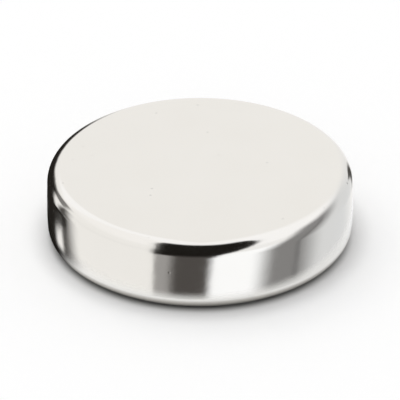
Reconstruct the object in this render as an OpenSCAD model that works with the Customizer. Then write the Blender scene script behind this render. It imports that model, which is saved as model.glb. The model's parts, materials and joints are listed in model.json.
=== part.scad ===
// Disc magnet: a short solid cylinder with two flat pole faces, a straight rim and a round on each edge.
// It lies on one pole face. Its axis is +Z, and the origin is the middle of the lower pole face.
// All lengths are in millimetres.

/* [Disc] */
// Diameter across the rim
disc_d = 12; // [5:0.5:50]
// Thickness from pole face to pole face
disc_t = 3; // [1.5:0.25:20]
// Radius of the round where each pole face meets the rim
edge_r = 0.6; // [0.1:0.05:0.7]

/* [Hidden] */

// Facets round the disc, and round each edge, in a preview
$fn = 180;

rim_r = disc_d / 2;
// Radius of the flat part of a pole face, where the round begins
face_r = rim_r - edge_r;
// Heights at which the lower round ends and the upper one begins, with the straight rim between
rim_low_z = edge_r;
rim_high_z = disc_t - edge_r;

// Half of the disc's section, to the right of its axis
module half_section() {
    square([face_r, disc_t]);
    translate([0, rim_low_z])
        square([rim_r, rim_high_z - rim_low_z]);
    for (round_z = [rim_low_z, rim_high_z])
        translate([face_r, round_z])
            circle(r = edge_r);
}

// The whole magnet, turned from its section
module disc_magnet() {
    color([0.87, 0.86, 0.84])
        rotate_extrude()
            half_section();
}

disc_magnet();
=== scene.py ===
"""Disc magnet: a finely turned visual mesh with a bright nickel finish, and the studio that it is seen in."""

import json
import math

import bpy
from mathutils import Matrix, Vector


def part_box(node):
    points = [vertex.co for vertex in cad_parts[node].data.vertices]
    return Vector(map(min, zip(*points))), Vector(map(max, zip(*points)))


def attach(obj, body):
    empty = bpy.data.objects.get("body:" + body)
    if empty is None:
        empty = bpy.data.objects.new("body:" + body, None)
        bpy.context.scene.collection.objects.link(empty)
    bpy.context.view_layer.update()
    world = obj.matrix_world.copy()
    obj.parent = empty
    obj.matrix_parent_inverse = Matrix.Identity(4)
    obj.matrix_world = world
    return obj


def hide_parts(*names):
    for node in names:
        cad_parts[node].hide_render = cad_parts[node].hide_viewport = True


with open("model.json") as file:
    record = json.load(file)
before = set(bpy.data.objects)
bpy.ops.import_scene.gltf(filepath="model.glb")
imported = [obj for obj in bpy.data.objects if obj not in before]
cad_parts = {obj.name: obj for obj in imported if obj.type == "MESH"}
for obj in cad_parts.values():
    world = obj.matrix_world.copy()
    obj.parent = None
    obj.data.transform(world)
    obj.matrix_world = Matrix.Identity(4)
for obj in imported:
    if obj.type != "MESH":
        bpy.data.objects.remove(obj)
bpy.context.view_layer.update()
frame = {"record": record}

MM = 0.001
NODE = "disc_magnet"

# The disc's sizes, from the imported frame, in metres
RIM = next(mount for mount in frame["record"]["mounts"] if mount["name"] == "rim")
RIM_R = RIM["dims"]["r_mm"] * MM
LOW_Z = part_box(NODE)[0][2]
HIGH_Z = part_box(NODE)[1][2]
EDGE_R = (HIGH_Z - LOW_Z - RIM["dims"]["length_mm"] * MM) / 2
# Tumbling leaves the rim very slightly barrelled: its slope where the edge rounds begin
CROWN = math.radians(2.5)

# Fineness of the turned mesh
STEPS_ROUND = 256
STEPS_FACE = 8
STEPS_EDGE = 16
STEPS_RIM = 4

# The camera stands as the photograph's did, 17.6 diameters away, and looks at the disc's face and rim
CAMERA_ELEVATION = math.radians(30.4)
CAMERA_DISTANCE = 17.6 * 2 * RIM_R
# How much of the picture's width the disc takes up
DISC_SHARE = 0.765
# The sensor's width in millimetres, and how near to the camera it begins to draw, in metres
SENSOR_WIDTH = 36.0
CAMERA_CLIP = 0.01

# Reflectance of bright nickel plating: the two tones that it drifts between
NICKEL_PALE = (0.862, 0.838, 0.795, 1.0)
NICKEL_WARM = (0.838, 0.812, 0.762, 1.0)
# Its dulled reflectance in dents, and how much of it a dent shows
NICKEL_WORN = (0.55, 0.53, 0.49, 1.0)
DENT_TINT = 0.4
# Roughness of the plating where it is clear and where it is hazy, and what a dent adds
CLEAR_ROUGHNESS = 0.06
HAZY_ROUGHNESS = 0.15
DENT_ROUGHNESS = 0.12
# Depth of the plating's slow waves, its orange peel and its dents
WAVE_DEPTH = 0.008 * MM
PEEL_DEPTH = 0.0016 * MM
DENT_DEPTH = 0.004 * MM
# How many patches of each pattern there are to a millimetre
TINT_SCALE = 0.45
HAZE_SCALE = 1.7
WAVE_SCALE = 0.55
PEEL_SCALE = 3.0
DENT_SCALE = 1.6
DENT_GROUP_SCALE = 0.8
# A dent's edge in its cell, and the edge of a group of dents: the middle and the width of each
DENT_EDGE = (0.07, 0.10)
DENT_GROUP_EDGE = (0.50, 0.12)

# Tones that the plating reflects at the front of the studio, from left to right
OPEN_SIDE = (0.98, 0.98, 0.98, 1.0)
OPEN_HIGH = (1.04, 1.04, 1.05, 1.0)
HORIZON = (0.95, 0.95, 0.95, 1.0)
GREY_STRIP = (0.37, 0.365, 0.365, 1.0)
BLACK_CARD_LOW = (0.084, 0.078, 0.075, 1.0)
BLACK_CARD = (0.0105, 0.0092, 0.0078, 1.0)
SOFTBOX = (1.14, 1.17, 1.22, 1.0)
SOFTBOX_MIDDLE = (0.99, 1.0, 1.02, 1.0)
GREY_CARD = (0.258, 0.258, 0.263, 1.0)
GREY_CARD_HIGH = (0.28, 0.28, 0.29, 1.0)
GREY_EDGE = (0.13, 0.13, 0.135, 1.0)
LIGHT_SIDE = (0.78, 0.80, 0.83, 1.0)
# Overhead, and on the cards behind the disc
OVERHEAD = (1.08, 1.09, 1.12, 1.0)
BACK_DARK = (0.08, 0.076, 0.073, 1.0)
BACK_BLACK = (0.018, 0.016, 0.014, 1.0)
# How much of the grey card's edge and of the arc behind the disc shows
EDGE_STRENGTH = 0.5
ARC_STRENGTH = 0.84
# The elevation from which the sides of the front cards lean, in degrees
CARD_FOOT = -40.0

# Light on the floor: the strength of even light from all round, and a broad lamp in watts a square metre
SOFT_LIGHT = 0.66
KEY_LIGHT = 0.60
# The lamp's tilt from straight above, and the angle that it spans
KEY_TILT = math.radians(24)
KEY_SPREAD = math.radians(60)

WHITE = (1.0, 1.0, 1.0, 1.0)
# The cool tint of the floor's painted reflection glow
COOL_WHITE = (0.95, 1.0, 1.08, 1.0)
# The floor's own tone, and the painted shade on the floor under the disc
FLOOR_TONE = 0.90
FLOOR_PALE = (FLOOR_TONE, FLOOR_TONE, FLOOR_TONE, 1.0)
PAINTED_SHADE_UNDER_DISC = (0.25, 0.25, 0.25, 1.0)
# What the floor adds to the light where it is seen, so that it is white away from the disc
FLOOR_LIFT = 1.0 - FLOOR_TONE * (SOFT_LIGHT + KEY_LIGHT * math.cos(KEY_TILT) / math.pi)
# Painted reflection: the glow that it gives to reflected rays only, so that the plating's lower edge is light
# down to the contact
PAINTED_REFLECTION_LIFT = 0.34
# Half the floor's width, and the step where it fades out: its distance from the middle and its width
FLOOR_REACH = 0.6
FADE_STEP = (0.07, 0.08)
# Steps of the floor round the disc, each as its distance past the rim and its width.
# Here the painted shade under the disc turns pale
PALE_STEP = (-0.2 * MM, 0.6 * MM)
# Here it begins to add light, for the camera and for the plating; nearer the rim it adds less, a painted
# shadow ring round the disc and a painted contact shade in the plating's reflection
SEEN_STEP = (0.3 * MM, 1.4 * MM)
REFLECTED_STEP = (0.2 * MM, 0.4 * MM)
# Here the plating stops reflecting it, all round and in its part painted black for reflected rays
REFLECTED_END = (0.9 * MM, 0.9 * MM)
PAINTED_BLACK_END = (0.6 * MM, 0.4 * MM)
# The part at the disc's left that is painted black for reflected rays only, a painted dark reflection on the
# plating's lower edge: its ends and their softness in degrees
PAINTED_BLACK_PART = (-112.0, -64.0, 24.0)


class Graph:
    """Builds one node tree."""

    def __init__(self, tree):
        self.tree = tree
        tree.nodes.clear()

    def feed(self, socket, value):
        """Links an output to the socket, or sets the socket's own value."""
        if isinstance(value, bpy.types.NodeSocket):
            self.tree.links.new(value, socket)
        else:
            socket.default_value = value

    def node(self, kind, inputs=None, **settings):
        """Adds a node, with its settings and with its inputs fed by their names."""
        made = self.tree.nodes.new(kind)
        for name, value in settings.items():
            setattr(made, name, value)
        for name, value in (inputs or {}).items():
            self.feed(made.inputs[name], value)
        return made

    def output(self, kind, inputs=None, **settings):
        """The first output of such a node."""
        return self.node(kind, inputs, **settings).outputs[0]

    def math(self, operation, *values):
        made = self.node("ShaderNodeMath", operation=operation)
        for socket, value in zip(made.inputs, values):
            self.feed(socket, value)
        return made.outputs[0]

    def join(self, operation, first, *others):
        """Any number of values, joined one after the other by the same operation."""
        for other in others:
            first = self.math(operation, first, other)
        return first

    def rise(self, value, middle, width):
        """0 below the middle and 1 above it, with a smooth step of the given width."""
        ends = {"From Min": middle - width / 2, "From Max": middle + width / 2}
        return self.output("ShaderNodeMapRange", {"Value": value, **ends}, interpolation_type="SMOOTHSTEP")

    def band(self, value, low, high, width):
        """1 between low and high, with a smooth step of the given width at each end."""
        return self.math("SUBTRACT", self.rise(value, low, width), self.rise(value, high, width))

    def past(self, value, start, factor, limit=None):
        """0 up to the start, and from there on the distance past it times the factor, up to the limit."""
        over = self.math("MAXIMUM", self.math("SUBTRACT", value, start), 0.0)
        grown = self.math("MULTIPLY", over, factor)
        return grown if limit is None else self.math("MINIMUM", grown, limit)

    def slanted(self, value, other, slant):
        """The value, less the slant for every unit of the other value."""
        return self.math("SUBTRACT", value, self.math("MULTIPLY", other, slant))

    def card(self, left, right, bottom=1.0, top=0.0):
        """1 on a card and 0 round it. Each side is a step from 0 to 1 over that side of the card.

        A card with no bottom reaches down to the floor, and one with no top reaches up over the disc.
        """
        across = self.math("SUBTRACT", left, right)
        return self.math("MULTIPLY", across, self.math("SUBTRACT", bottom, top))

    def azimuth(self, place):
        """A place's direction round the disc, in degrees from the front, which is -Y, towards +X."""
        x, y = self.node("ShaderNodeSeparateXYZ", {"Vector": place}).outputs[:2]
        return self.math("DEGREES", self.math("ARCTAN2", x, self.math("MULTIPLY", y, -1.0)))

    def elevation(self, direction):
        """A direction's height above the horizon, in degrees."""
        z = self.node("ShaderNodeSeparateXYZ", {"Vector": direction}).outputs["Z"]
        return self.math("DEGREES", self.math("ARCSINE", z))

    def seen(self, rays):
        """1 for what is seen straight or through glass, and 0 for what other rays meet."""
        return self.math("MAXIMUM", rays["Is Camera Ray"], rays["Is Transmission Ray"])

    def mix(self, factor, low, high):
        """A number between low and high."""
        made = self.node("ShaderNodeMix", data_type="FLOAT")
        self.feed(made.inputs[0], factor)
        self.feed(made.inputs[2], low)
        self.feed(made.inputs[3], high)
        return made.outputs[0]

    def mix_colour(self, factor, low, high):
        made = self.node("ShaderNodeMix", data_type="RGBA")
        self.feed(made.inputs[0], factor)
        self.feed(made.inputs[6], low)
        self.feed(made.inputs[7], high)
        return made.outputs[2]

    def mix_shader(self, factor, low, high):
        made = self.node("ShaderNodeMixShader", {"Fac": factor})
        self.feed(made.inputs[1], low)
        self.feed(made.inputs[2], high)
        return made.outputs[0]

    def noise(self, place, scale, detail=2.0, roughness=0.5):
        inputs = {"Vector": place, "Scale": scale, "Detail": detail, "Roughness": roughness}
        return self.output("ShaderNodeTexNoise", inputs)

    def bump(self, height, depth, below=None):
        """The normal over a relief of the given depth, laid on another relief's normal."""
        inputs = {"Strength": 1.0, "Distance": depth, "Height": height}
        if below is not None:
            inputs["Normal"] = below
        return self.output("ShaderNodeBump", inputs)


def half_section():
    """The disc's half section, from below to above, as (radius, height, slope of the outward normal)."""
    half_t = (HIGH_Z - LOW_Z) / 2
    crown_r = (half_t - EDGE_R) / math.sin(CROWN)
    round_r = EDGE_R / (1 - math.sin(CROWN))
    face_r = RIM_R - crown_r * (1 - math.cos(CROWN)) - round_r * math.cos(CROWN)

    upper = []
    for i in range(STEPS_RIM):
        slope = CROWN * i / STEPS_RIM
        upper.append((RIM_R - crown_r * (1 - math.cos(slope)), crown_r * math.sin(slope), slope))
    for i in range(STEPS_EDGE + 1):
        slope = CROWN + (math.pi / 2 - CROWN) * i / STEPS_EDGE
        upper.append((face_r + round_r * math.cos(slope), half_t - round_r * (1 - math.sin(slope)), slope))
    for i in range(1, STEPS_FACE):
        upper.append((face_r * (1 - i / STEPS_FACE), half_t, math.pi / 2))

    lower = [(radius, -height, -slope) for radius, height, slope in upper[:0:-1]]
    return [(radius, LOW_Z + half_t + height, slope) for radius, height, slope in lower + upper]


def turned_disc():
    """The whole disc, turned from its half section, with the true surface's normals."""
    rows = half_section()
    points = [(0.0, 0.0, LOW_Z)]
    normals = [(0.0, 0.0, -1.0)]
    for radius, height, slope in rows:
        for i in range(STEPS_ROUND):
            angle = 2 * math.pi * i / STEPS_ROUND
            x, y = math.cos(angle), math.sin(angle)
            points.append((radius * x, radius * y, height))
            normals.append((math.cos(slope) * x, math.cos(slope) * y, math.sin(slope)))
    points.append((0.0, 0.0, HIGH_Z))
    normals.append((0.0, 0.0, 1.0))

    faces = []
    last_ring = 1 + (len(rows) - 1) * STEPS_ROUND
    for i in range(STEPS_ROUND):
        after = (i + 1) % STEPS_ROUND
        faces.append((0, 1 + after, 1 + i))
        for row in range(len(rows) - 1):
            low = 1 + row * STEPS_ROUND
            high = low + STEPS_ROUND
            faces.append((low + i, low + after, high + after, high + i))
        faces.append((last_ring + i, last_ring + after, len(points) - 1))

    mesh = bpy.data.meshes.new("turned_disc")
    mesh.from_pydata(points, [], faces)
    mesh.shade_smooth()
    mesh.normals_split_custom_set_from_vertices(normals)
    disc = bpy.data.objects.new("nickel_disc", mesh)
    bpy.context.collection.objects.link(disc)
    return disc


def dents(graph, place):
    """Sparse small dents, in loose groups: 1 inside a dent and 0 outside."""
    cells = graph.node("ShaderNodeTexVoronoi", {"Vector": place, "Scale": DENT_SCALE})
    inside = graph.math("SUBTRACT", 1.0, graph.rise(cells.outputs["Distance"], *DENT_EDGE))
    grouped = graph.rise(graph.noise(place, DENT_GROUP_SCALE), *DENT_GROUP_EDGE)
    return graph.math("MULTIPLY", inside, grouped)


def nickel():
    """Bright nickel plating: mirror-like and slightly warm, with waves, orange peel, haze and dents."""
    material = bpy.data.materials.new("bright_nickel")
    material.use_nodes = True
    graph = Graph(material.node_tree)
    metres = graph.node("ShaderNodeTexCoord").outputs["Object"]
    place = graph.output("ShaderNodeVectorMath", {"Vector": metres, "Scale": 1 / MM}, operation="SCALE")
    dented = dents(graph, place)

    colour = graph.mix_colour(graph.noise(place, TINT_SCALE, detail=3.0), NICKEL_PALE, NICKEL_WARM)
    colour = graph.mix_colour(graph.math("MULTIPLY", dented, DENT_TINT), colour, NICKEL_WORN)
    haze = graph.noise(place, HAZE_SCALE, detail=4.0, roughness=0.6)
    roughness = graph.mix(haze, CLEAR_ROUGHNESS, HAZY_ROUGHNESS)
    roughness = graph.math("ADD", roughness, graph.math("MULTIPLY", dented, DENT_ROUGHNESS))

    normal = graph.bump(graph.noise(place, WAVE_SCALE, detail=1.0), WAVE_DEPTH)
    normal = graph.bump(graph.noise(place, PEEL_SCALE), PEEL_DEPTH, normal)
    normal = graph.bump(graph.math("MULTIPLY", dented, -1.0), DENT_DEPTH, normal)

    plating = graph.output(
        "ShaderNodeBsdfPrincipled",
        {"Base Color": colour, "Metallic": 1.0, "Roughness": roughness, "Normal": normal},
    )
    graph.node("ShaderNodeOutputMaterial", {"Surface": plating})
    return material


def grey_edge(graph, leaning, elevation):
    """The front grey card's darker right edge, which ends where the card turns light."""
    left = graph.rise(leaning, 72.5, 4.0)
    right = graph.rise(leaning, 77.5, 4.0)
    top = graph.rise(elevation, 20.0, 20.0)
    return graph.math("MULTIPLY", graph.card(left, right, top=top), EDGE_STRENGTH)


def front_tone(graph, azimuth, elevation, horizon):
    """The front of the studio. Each part is painted from its own left side on, over the part before it."""
    # From the softbox on, the sides lean to the right, more so from just below the horizon up
    lean = graph.math("ADD", graph.past(elevation, CARD_FOOT, 0.25), graph.past(elevation, -5.0, 0.5))
    leaning = graph.math("SUBTRACT", azimuth, lean)
    # The strip's and the black card's left sides lean at the foot only, and bow to the left high up
    foot = graph.past(elevation, CARD_FOOT, 0.3, limit=4.5)
    bow = graph.math("POWER", graph.past(elevation, 20.0, 0.088), 2.0)
    bowed = graph.math("ADD", graph.math("SUBTRACT", azimuth, foot), bow)

    strip_left = graph.rise(bowed, -38.0, 4.0)
    black_left = graph.rise(bowed, -25.0, 10.0)
    softbox_left = graph.rise(leaning, 4.6, 8.5)
    grey_left = graph.rise(leaning, 45.5, 22.0)
    light_left = graph.rise(leaning, 87.5, 34.0)

    high = graph.rise(elevation, 34.0, 20.0)
    strip_top = graph.rise(elevation, -14.0, 10.0)
    black_high = graph.rise(elevation, -12.0, 26.0)
    softbox_middle = graph.rise(elevation, 3.0, 10.0)
    softbox_top = graph.rise(elevation, 27.0, 10.0)
    grey_high = graph.rise(elevation, 8.0, 20.0)

    open_side = graph.mix_colour(horizon, graph.mix_colour(high, OPEN_SIDE, OPEN_HIGH), HORIZON)
    black_card = graph.mix_colour(black_high, BLACK_CARD_LOW, BLACK_CARD)
    strip = graph.mix_colour(strip_top, GREY_STRIP, black_card)
    softbox = graph.mix_colour(softbox_middle, SOFTBOX, SOFTBOX_MIDDLE)
    softbox = graph.mix_colour(softbox_top, softbox, OVERHEAD)
    grey_card = graph.mix_colour(grey_high, GREY_CARD, GREY_CARD_HIGH)
    grey_card = graph.mix_colour(high, grey_card, OVERHEAD)
    light_side = graph.mix_colour(high, LIGHT_SIDE, OVERHEAD)

    tone = graph.mix_colour(strip_left, open_side, strip)
    tone = graph.mix_colour(black_left, tone, black_card)
    tone = graph.mix_colour(softbox_left, tone, softbox)
    tone = graph.mix_colour(grey_left, tone, grey_card)
    tone = graph.mix_colour(light_left, tone, light_side)
    return graph.mix_colour(grey_edge(graph, leaning, elevation), tone, GREY_EDGE)


def back_light(graph, azimuth, elevation):
    """A bright panel high behind the disc, at the left."""
    left = graph.rise(azimuth, -161.0, 12.0)
    right = graph.rise(azimuth, -127.0, 12.0)
    bottom = graph.rise(elevation, 29.0, 8.0)
    return graph.card(left, right, bottom)


def back_strip(graph, azimuth, elevation):
    """A low dark strip at the left, with a soft right side."""
    left = graph.rise(azimuth, -127.0, 6.0)
    right = graph.rise(azimuth, -113.0, 22.0)
    top = graph.rise(elevation, -22.0, 8.0)
    return graph.card(left, right, top=top)


def back_block(graph, azimuth, elevation):
    """A dark block over the strip, whose left side leans to the right as it goes up."""
    left = graph.rise(graph.slanted(azimuth, elevation, 0.4), -117.5, 8.0)
    right = graph.rise(azimuth, -108.0, 14.0)
    bottom = graph.rise(elevation, -25.0, 14.0)
    top = graph.rise(elevation, 10.0, 14.0)
    return graph.card(left, right, bottom, top)


def back_arc(graph, azimuth, elevation):
    """A soft dark arc over the block, which grows higher towards the right."""
    growth = graph.past(azimuth, -136.0, 0.6, limit=7.0)
    left = graph.rise(azimuth, -150.0, 8.0)
    right = graph.rise(azimuth, -114.0, 10.0)
    bottom = graph.rise(elevation, 6.0, 5.0)
    top = graph.rise(graph.math("SUBTRACT", elevation, growth), 18.0, 5.0)
    return graph.math("MULTIPLY", graph.card(left, right, bottom, top), ARC_STRENGTH)


def back_right_card(graph, azimuth, elevation):
    """A small dark card at the right, which leans to the left as it goes up."""
    slanted = graph.slanted(azimuth, elevation, -0.4)
    left = graph.rise(slanted, 143.5, 4.5)
    right = graph.rise(slanted, 152.5, 4.5)
    bottom = graph.rise(elevation, -24.0, 9.0)
    top = graph.rise(elevation, 3.0, 4.0)
    return graph.card(left, right, bottom, top)


def back_left_card(graph, azimuth, elevation):
    """A tall black card at the left, whose right side leans to the right low down and is upright above."""
    lean = graph.past(elevation, -30.0, 0.8, limit=9.0)
    left = graph.rise(azimuth, -172.0, 6.0)
    right = graph.rise(graph.math("SUBTRACT", azimuth, lean), -139.5, 8.0)
    top = graph.rise(elevation, 13.0, 9.0)
    return graph.card(left, right, top=top)


def back_bar(graph, azimuth, elevation):
    """A black bar from the tall card into the strip, which climbs a little towards the right."""
    slanted = graph.slanted(elevation, azimuth, 0.07)
    left = graph.rise(azimuth, -145.0, 4.0)
    right = graph.rise(azimuth, -119.0, 4.0)
    bottom = graph.rise(slanted, -20.9, 1.0)
    top = graph.rise(slanted, -12.8, 1.0)
    return graph.card(left, right, bottom, top)


def any_card(graph, azimuth, elevation, *cards):
    """How much of the strongest of these cards shows in each direction."""
    return graph.join("MAXIMUM", *(card(graph, azimuth, elevation) for card in cards))


def studio_tone(graph):
    """What the plating reflects in each direction: cards and a softbox in an open pale studio.

    Every side of a card, and every change with height, is a step given by its middle and its width.
    Left and right are as the rim shows them, where azimuth grows from left to right.
    """
    direction = graph.node("ShaderNodeTexCoord").outputs["Generated"]
    azimuth = graph.azimuth(direction)
    elevation = graph.elevation(direction)
    horizon = graph.band(elevation, -3.0, 9.0, 10.0)
    front = graph.band(azimuth, -140.0, 150.0, 40.0)
    overhead = graph.rise(elevation, 72.0, 10.0)

    behind = graph.mix_colour(horizon, OPEN_SIDE, HORIZON)
    dark = any_card(graph, azimuth, elevation, back_strip, back_block, back_arc, back_right_card)
    black = any_card(graph, azimuth, elevation, back_left_card, back_bar)

    tone = graph.mix_colour(overhead, front_tone(graph, azimuth, elevation, horizon), OVERHEAD)
    tone = graph.mix_colour(front, behind, tone)
    tone = graph.mix_colour(back_light(graph, azimuth, elevation), tone, OVERHEAD)
    tone = graph.mix_colour(dark, tone, BACK_DARK)
    return graph.mix_colour(black, tone, BACK_BLACK)


def studio_world():
    """White to the camera, the studio to the plating, and plain soft light to the floor."""
    world = bpy.data.worlds.new("studio")
    bpy.context.scene.world = world
    world.use_nodes = True
    graph = Graph(world.node_tree)
    rays = graph.node("ShaderNodeLightPath").outputs
    soft_light = graph.output("ShaderNodeBackground", {"Color": WHITE, "Strength": SOFT_LIGHT})
    studio = graph.output("ShaderNodeBackground", {"Color": studio_tone(graph), "Strength": 1.0})
    white = graph.output("ShaderNodeBackground", {"Color": WHITE, "Strength": 1.0})
    unseen = graph.mix_shader(rays["Is Glossy Ray"], soft_light, studio)
    graph.node("ShaderNodeOutputWorld", {"Surface": graph.mix_shader(graph.seen(rays), unseen, white)})


def pale_floor():
    """The floor's material: pale, lifted to white where it is seen, and clear far from the disc,
    with painted shade under the disc and a ring of painted shadow round it.

    The plating reflects the floor near the rim only, where it glows as a painted reflection, apart from a
    part painted black for reflected rays, a painted dark reflection.
    """
    material = bpy.data.materials.new("pale_floor")
    material.use_nodes = True
    graph = Graph(material.node_tree)
    place = graph.node("ShaderNodeTexCoord").outputs["Object"]
    away = graph.node("ShaderNodeVectorMath", {"Vector": place}, operation="LENGTH").outputs["Value"]
    past_rim = graph.math("SUBTRACT", away, RIM_R)
    rays = graph.node("ShaderNodeLightPath").outputs
    reflected = rays["Is Glossy Ray"]
    # Painted reflection: to reflected rays only, a part of the floor at the disc's left is black
    black = graph.math("MULTIPLY", reflected, graph.band(graph.azimuth(place), *PAINTED_BLACK_PART))

    # Painted shade: the floor's colour is dark under the disc and turns pale just past the rim
    colour = graph.mix_colour(graph.rise(past_rim, *PALE_STEP), PAINTED_SHADE_UNDER_DISC, FLOOR_PALE)
    # The floor's colour turns black there for reflected rays, a painted dark reflection
    colour = graph.mix_colour(black, colour, BACK_BLACK)
    paint = graph.output("ShaderNodeBsdfDiffuse", {"Color": colour})

    # Painted shadow: near the rim the floor adds less light, which leaves a ring of painted shade round the
    # disc
    seen_lift = graph.join("MULTIPLY", graph.seen(rays), FLOOR_LIFT, graph.rise(past_rim, *SEEN_STEP))
    pale = graph.math("MULTIPLY", reflected, graph.math("SUBTRACT", 1.0, black))
    # Painted reflection: the floor glows, cool white, to reflected rays only, so that the plating's lower
    # edge is light
    painted_reflection_strength = graph.join("MULTIPLY", pale, PAINTED_REFLECTION_LIFT, graph.rise(past_rim, *REFLECTED_STEP))
    strength = graph.math("ADD", seen_lift, painted_reflection_strength)
    tint = graph.mix_colour(reflected, WHITE, COOL_WHITE)
    lift = graph.output("ShaderNodeEmission", {"Color": tint, "Strength": strength})
    lifted = graph.node("ShaderNodeAddShader")
    graph.feed(lifted.inputs[0], paint)
    graph.feed(lifted.inputs[1], lift)

    past_reflected = graph.math("MULTIPLY", reflected, graph.rise(past_rim, *REFLECTED_END))
    past_black = graph.math("MULTIPLY", black, graph.rise(past_rim, *PAINTED_BLACK_END))
    faded = graph.join("MAXIMUM", past_reflected, past_black, graph.rise(away, *FADE_STEP))
    clear = graph.output("ShaderNodeBsdfTransparent")
    graph.node("ShaderNodeOutputMaterial", {"Surface": graph.mix_shader(faded, lifted.outputs[0], clear)})
    return material


def floor():
    """A pale floor that fades into the white studio far from the disc."""
    reach = FLOOR_REACH
    corners = [(-reach, -reach, 0.0), (reach, -reach, 0.0), (reach, reach, 0.0), (-reach, reach, 0.0)]
    mesh = bpy.data.meshes.new("floor")
    mesh.from_pydata(corners, [], [(0, 1, 2, 3)])
    mesh.materials.append(pale_floor())
    piece = bpy.data.objects.new("floor", mesh)
    bpy.context.collection.objects.link(piece)


def key_light():
    """One broad lamp high behind the disc and to its left, for the soft shadow on the floor."""
    light = bpy.data.lights.new("key", "SUN")
    light.angle = KEY_SPREAD
    light.energy = KEY_LIGHT
    lamp = bpy.data.objects.new("key", light)
    # Its light runs down, and as much to the right as to the front
    across = math.sin(KEY_TILT) / math.sqrt(2)
    lamp.rotation_mode = "QUATERNION"
    lamp.rotation_quaternion = Vector((across, -across, -math.cos(KEY_TILT))).to_track_quat("-Z", "Y")
    lamp.visible_glossy = False
    bpy.context.collection.objects.link(lamp)


def camera():
    """Looks at the middle of the disc from the photograph's angle to the face and rim."""
    data = bpy.data.cameras.new("camera")
    data.sensor_width = SENSOR_WIDTH
    data.lens = SENSOR_WIDTH * DISC_SHARE * CAMERA_DISTANCE / (2 * RIM_R)
    data.clip_start = CAMERA_CLIP
    back = Vector((0.0, -math.cos(CAMERA_ELEVATION), math.sin(CAMERA_ELEVATION)))
    piece = bpy.data.objects.new("camera", data)
    piece.location = Vector((0.0, 0.0, (LOW_Z + HIGH_Z) / 2)) + back * CAMERA_DISTANCE
    piece.rotation_mode = "QUATERNION"
    piece.rotation_quaternion = (-back).to_track_quat("-Z", "Y")
    bpy.context.collection.objects.link(piece)
    bpy.context.scene.camera = piece


disc = turned_disc()
disc.data.materials.append(nickel())
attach(disc, "root")
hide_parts(NODE)

camera()
studio_world()
floor()
key_light()
bpy.context.scene.view_settings.view_transform = "Standard"
